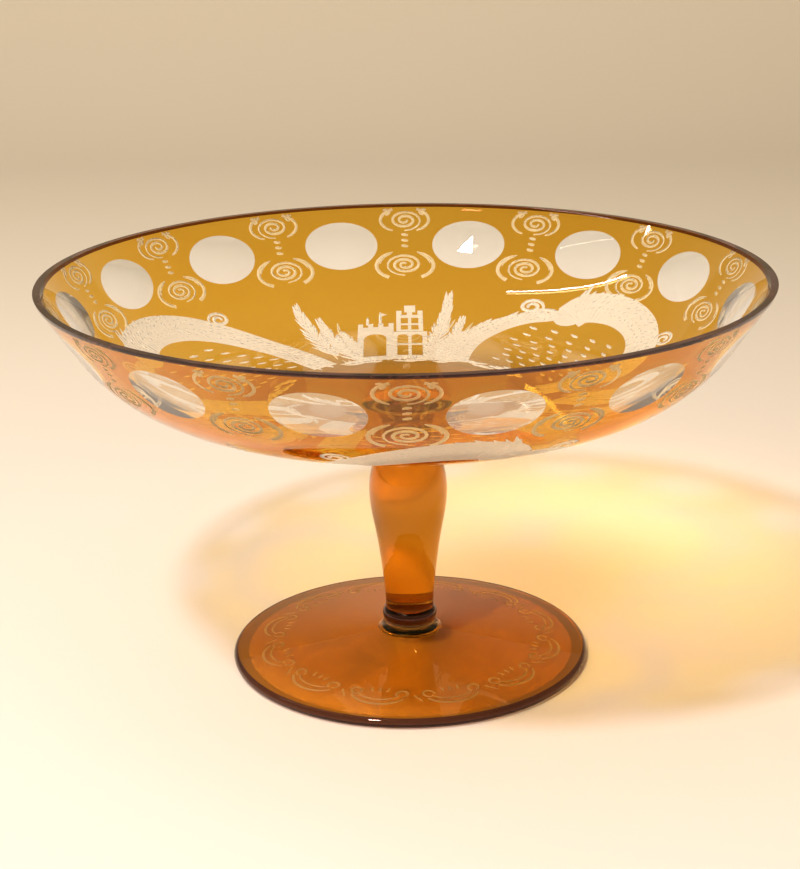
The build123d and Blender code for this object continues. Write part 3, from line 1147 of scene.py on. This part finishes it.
def window_tilt(places, slope):
    """How far a window's hollow leans its normal, across and down."""
    radius = np.hypot(places[:, 0], places[:, 1])
    turn = np.degrees(np.arctan2(places[:, 0], places[:, 1]))
    straight = (RIM_RADIUS - radius) * math.cos(WALL_ANGLE)
    straight += (RIM_HEIGHT - places[:, 2]) * math.sin(WALL_ANGLE)
    bent = STRAIGHT + (WALL_ANGLE - slope) * BEND_RADIUS
    down = np.where(slope >= WALL_ANGLE - 1e-6, straight, bent)
    middle = SEAM + WINDOW_STEP * np.round((turn - SEAM) / WINDOW_STEP)
    across = np.radians(turn - middle) * radius / MM
    below = down / MM - WINDOW_DOWN
    return (-2 * WINDOW_DEPTH * across / WINDOW_WIDE**2, -2 * WINDOW_DEPTH * below / WINDOW_TALL**2)


def polish_bowl(piece):
    places, flats = read_corners(piece.data)
    radius = np.hypot(places[:, 0], places[:, 1])
    slope = slope_of(radius, places[:, 2])
    sine, cosine = places[:, 0] / np.maximum(radius, 1e-9), places[:, 1] / np.maximum(radius, 1e-9)
    rise, along = np.sin(slope), np.cos(slope)
    outward = np.stack([rise * sine, rise * cosine, -along], axis=1)
    round_it = np.stack([cosine, -sine, np.zeros_like(sine)], axis=1)
    downward = np.stack([-along * sine, -along * cosine, -rise], axis=1)
    across, below = window_tilt(places, slope)
    hollow = outward + round_it * across[:, None] + downward * below[:, None]
    hollow /= np.linalg.norm(hollow, axis=1)[:, None]
    wanted = [(AMBER_SKIN, outward), (AMBER_FOOT, outward), (MELTED, outward), (CRYSTAL, -outward),
              (WINDOW, hollow), (ENGRAVED, flats), (ENGRAVED_FINE, flats)]
    set_normals(piece.data, wanted)


polish_bowl(bowl)

# %% [markdown]
# ## The foot
# The foot is a low cone with a fully rounded edge and a hollow underneath. A border of twelve
# C-scrolls with a second line inside each is engraved on its top, drawn on a sheet of its own.

# %% The foot
EDGE_ROUND = 1.75 * MM
EDGE_R = FOOT_RADIUS - EDGE_ROUND
RING_R = EDGE_R - 3.8 * MM
FOOT_EDGE = 3.5 * MM
HOLLOW = 3.2 * MM
TOP_RUN, TOP_RISE = EDGE_R - HUB_RADIUS, HUB_SEAT - FOOT_EDGE
TOP_LENGTH = math.hypot(TOP_RUN, TOP_RISE)
BORDER_LOW, BORDER_HIGH = 2.0, 22.0


def foot_top_at(down):
    share = np.asarray(down, dtype=float) / TOP_LENGTH
    return EDGE_R - TOP_RUN * share, FOOT_EDGE + TOP_RISE * share


def foot_radius_at(down):
    return foot_top_at(down)[0]


def draw_border():
    sheet = Sheet(foot_radius_at, list(np.arange(BORDER_LOW, BORDER_HIGH + 0.1, 2.0)), 11)
    for number in range(12):
        turn = SEAM - 30 * (number + 0.5) - 1.85
        arc(sheet, turn, 12.8, 0, 0, 9.2, 5.4, 200, 340, 1.0, (0.5, 0.9), 15)
        arc(sheet, turn, 13.0, 0, 0.6, 7.2, 3.6, 195, 345, 0.75, (0.4, 0.7), 13)
        for side in (-1, 1):
            end = 250 + side * 300
            arc(sheet, turn, 13.2, side * 7.6, 0.4, 1.9, 1.8, 250, end, 0.85, (0.6, 0.9), 10)
        for step in range(3):
            x = (step - 1) * 2.4
            tail = [sheet.spot(turn, 14.6 + part * 2.4, x * (1 + 0.25 * part)) for part in (0, 0.5, 1)]
            sheet.stroke(tail, 0.9, (0.9, 0.2))
        for step in range(2):
            x = 10.9 + step * 0.9
            tail = [sheet.spot(turn, 9.0 + step * 1.6 + part, x + 0.3 * part) for part in (0, 1.2, 2.4)]
            sheet.stroke(tail, 0.8, (0.3, 0.8))
    finishes = (FOOT_AMBER, FOOT_MATT, FOOT_MATT, FOOT_AMBER, FOOT_AMBER)
    return sheet.cut("foot_sheet", lambda x, y: 0.0, finishes)


def foot_underside():
    """From the axis out under the hollow, round the edge and up to the border."""
    hollow = [(0.0, HOLLOW * 0.985, CLEAR)]
    for share in np.linspace(0.04, 1.0, 16):
        hollow.append((RING_R * share, HOLLOW * (1 - share), CLEAR))
    ring = [(EDGE_R, 0.0, CLEAR)]
    for step in np.linspace(-math.pi / 2, math.pi / 2, 16)[1:]:
        # the middle of the rounded edge takes painted shade: near-black glass for its dark band
        kind = CLEAR if step < -1.15 else PAINTED_DARK if step < 1.2 else FOOT_AMBER
        ring.append((EDGE_R + EDGE_ROUND * math.cos(step), EDGE_ROUND * (1 + math.sin(step)), kind))
    low_r, low_z = foot_top_at(BORDER_LOW * MM)
    return turn("foot_underside", hollow + ring + [(float(low_r), float(low_z), FOOT_AMBER)])


def foot_crown():
    downs = np.linspace(BORDER_HIGH * MM, TOP_LENGTH, 10)
    crown = with_finish(zip(*foot_top_at(downs)), FOOT_AMBER)
    crown[-1] = (HUB_RADIUS, HUB_SEAT, FUSED)
    return turn("foot_crown", crown + [(0.0, HUB_SEAT, FUSED)])


foot_profile = list(zip(*foot_top_at(np.linspace(0, TOP_LENGTH, 40))))
border = roll_up(draw_border(), foot_profile, -1)
foot = close_skin(join("compote_foot", [border, foot_underside(), foot_crown()]))


def polish_foot(piece):
    places, flats = read_corners(piece.data)
    radius = np.maximum(np.hypot(places[:, 0], places[:, 1]), 1e-9)
    lean, rise = TOP_RISE / TOP_LENGTH, TOP_RUN / TOP_LENGTH
    cone = np.stack([lean * places[:, 0] / radius, lean * places[:, 1] / radius,
                     np.full(len(radius), rise)], axis=1)
    set_normals(piece.data, [(AMBER_FOOT, cone), (ENGRAVED_FOOT, flats)])


polish_foot(foot)

# %% [markdown]
# ## Table and wall
# A plain pale table runs up into a plain wall in one sweep, so there is no line behind the glass. It
# is wide, because the glass mirrors what stands beside it too.

# %% The floor and backdrop
TABLE_FRONT, TABLE_BACK, TABLE_SIDE = -2.2, 1.0, 6.0
SWEEP_BEND = 0.5
WALL_TOP = 0.75


def pale_table():
    """Warm white cloth, yellower towards the back, with painted shade that dims the wall higher up."""
    tree, finish = new_material("pale_table")
    clouds = soft_noise(tree, 6.0, 3.0)
    _, back, height = split(place_on(tree))
    away = node(tree, "ShaderNodeMapRange", {}, back, -0.3, 0.8, 0.0, 1.0)
    up = node(tree, "ShaderNodeMapRange", {}, height, 0.14, 0.72, 0.0, 1.0)
    tone = mix_colours(tree, away, (0.80, 0.72, 0.68), (0.80, 0.71, 0.57))
    tone = mix_colours(tree, clouds * 0.06, tone, (0.70, 0.60, 0.46))
    # painted shade: the wall's colour darkens with height
    tone = mix_colours(tree, up, tone, (0.26, 0.20, 0.13))
    return finish(node(tree, "ShaderNodeBsdfPrincipled", {}, Base_Color=tone, Roughness=0.9))


def make_sweep():
    line = [(TABLE_FRONT, 0.0), (TABLE_BACK, 0.0)]
    for step in np.linspace(0, math.pi / 2, 13)[1:]:
        line.append((TABLE_BACK + SWEEP_BEND * math.sin(step), SWEEP_BEND * (1 - math.cos(step))))
    line.append((TABLE_BACK + SWEEP_BEND, WALL_TOP))
    places = [(side, y, z) for y, z in line for side in (-TABLE_SIDE, TABLE_SIDE)]
    faces = [(2 * n, 2 * n + 1, 2 * n + 3, 2 * n + 2) for n in range(len(line) - 1)]
    sweep = new_piece("sweep", places, [], faces)
    sweep.data.polygons.foreach_set("use_smooth", [True] * len(faces))
    sweep.data.materials.append(pale_table())
    return sweep


sweep = make_sweep()
print("table and wall", 2 * TABLE_SIDE, "m wide, up to", WALL_TOP, "m")

# %% [markdown]
# ## Light
# The key lamp is small and stands high at the front left, so the bowl's shadow and the yellow patch
# of light inside it fall to the back right. A wide dome overhead softens the shadow; it doesn't show
# in the glass. A thin tube lamp at the left draws the bright streak on the inside of the far wall.

# %% Lamps
TUBE_PLACE, TUBE_TARGET = Vector((-0.60, 0.28, 1.05)), Vector((0.02, 0.08, 0.11))
TUBE_LIES = Vector((0.52, -0.11, 0.44))


def area_lamp(name, place, target, wide, tall, power, colour):
    data = bpy.data.lights.new(name, "AREA")
    data.shape = "RECTANGLE"
    data.size, data.size_y, data.energy, data.color = wide, tall, power, colour
    lamp = add_object(name, data)
    way = Vector(target) - Vector(place)
    turned = way.to_track_quat("-Z", "Y").to_matrix().to_4x4()
    lamp.matrix_world = Matrix.Translation(place) @ turned
    return lamp


area_lamp("key", (-0.36, -0.58, 1.12), (0, 0, 0.05), 0.11, 0.11, 14.5, (1.0, 0.89, 0.80))
dome = area_lamp("dome", (-0.55, -0.35, 1.7), (0, 0.1, 0.0), 2.2, 2.2, 22.0, (1.0, 0.93, 0.82))
dome.visible_glossy = False
dome.visible_transmission = False
tube = area_lamp("tube", TUBE_PLACE, TUBE_TARGET, 0.66, 0.02, 1.6, (1.0, 0.97, 0.92))
along = TUBE_LIES.normalized()
across = (TUBE_PLACE - TUBE_TARGET).normalized().cross(along).normalized()
turned = Matrix((along, across, along.cross(across))).transposed().to_4x4()
tube.matrix_world = Matrix.Translation(TUBE_PLACE) @ turned


def make_world():
    """The room: warm low down, dim high up."""
    world = bpy.data.worlds.new("room")
    world.use_nodes = True
    tree = world.node_tree
    tree.nodes.clear()
    _, _, height = split(node(tree, "ShaderNodeTexCoord", {}, output=0))
    share = node(tree, "ShaderNodeMapRange", {}, height, 0.12, 0.62, 0.0, 1.0)
    colour = mix_colours(tree, share, (0.60, 0.49, 0.33), (0.13, 0.10, 0.06))
    light = node(tree, "ShaderNodeBackground", {}, colour, 1.0)
    out = tree.nodes.new("ShaderNodeOutputWorld")
    tree.links.new(light.socket, out.inputs["Surface"])
    bpy.context.scene.world = world


make_world()
bpy.context.scene.view_settings.view_transform = "Standard"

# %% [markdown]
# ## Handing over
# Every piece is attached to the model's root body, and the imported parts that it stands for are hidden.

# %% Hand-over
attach(bowl, "root")
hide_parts("bowl_crystal", "bowl_amber_layer")
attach(foot, "root")
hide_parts("foot_crystal", "foot_amber_layer")
for piece, node_name in amber_pieces:
    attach(piece, "root")
    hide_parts(node_name)
